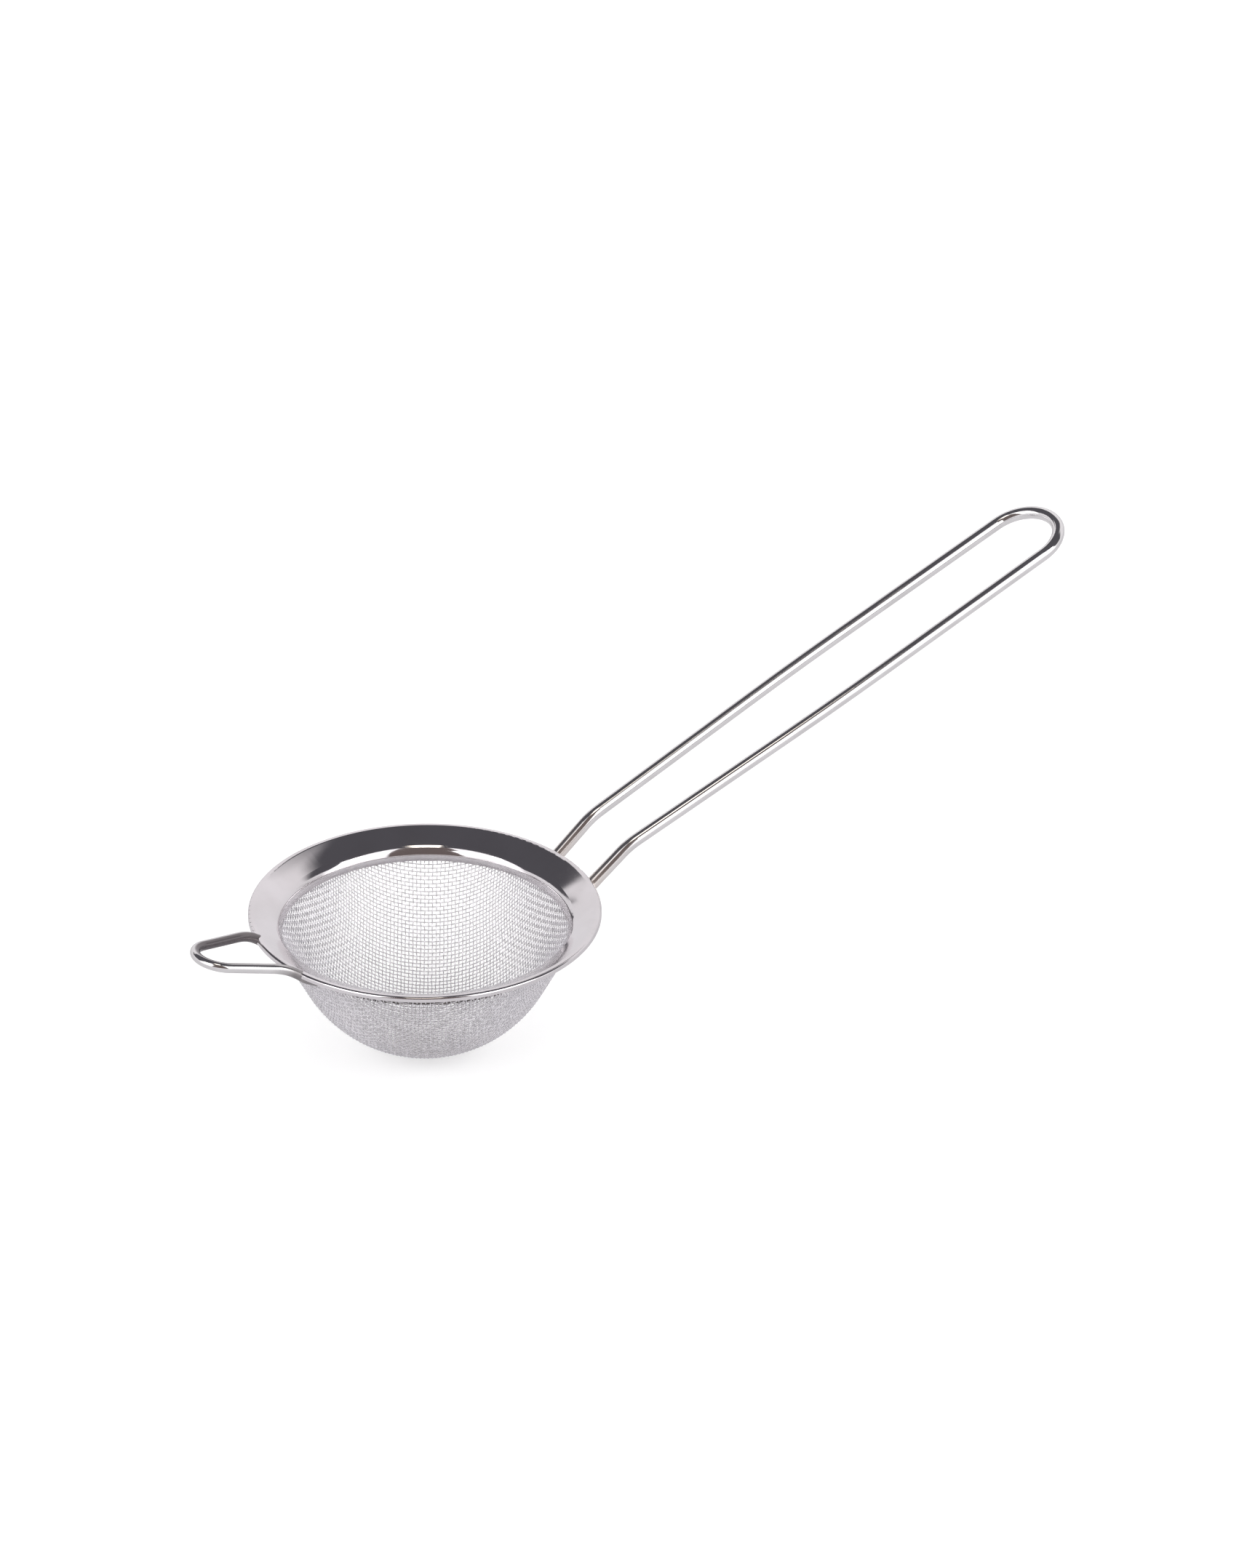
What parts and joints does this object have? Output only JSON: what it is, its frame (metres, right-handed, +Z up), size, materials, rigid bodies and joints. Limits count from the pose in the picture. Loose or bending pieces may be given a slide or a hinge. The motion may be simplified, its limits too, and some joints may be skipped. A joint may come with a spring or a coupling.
{
  "type": "tea strainer",
  "caption": "Hand-held wire-mesh tea strainer: round flanged collar with a woven hemispherical bowl, a long bent-wire handle and a small wire rest hook.",
  "frame": {"origin": "centre of the throat, the short round wall inside the collar that the bowl hangs from", "axes": "+Z up along the bowl's axis, out of its open side; +X towards the handle's end; the rest hook is on -X"},
  "size_m": [0.2033, 0.07, 0.0779],
  "materials": {
    "collar_steel": "mirror-polished stainless steel sheet",
    "ring_steel": "rolled stainless steel strip, darkened by spot welding",
    "woven_wire": "bright drawn stainless steel wire cloth",
    "wire_steel": "bright polished stainless steel wire"
  },
  "bodies": {
    "root": {"rim_collar": "collar_steel", "mesh_ring": "ring_steel", "mesh_bowl": "woven_wire", "handle_wire": "wire_steel", "rest_hook": "wire_steel"}
  },
  "joints": []
}
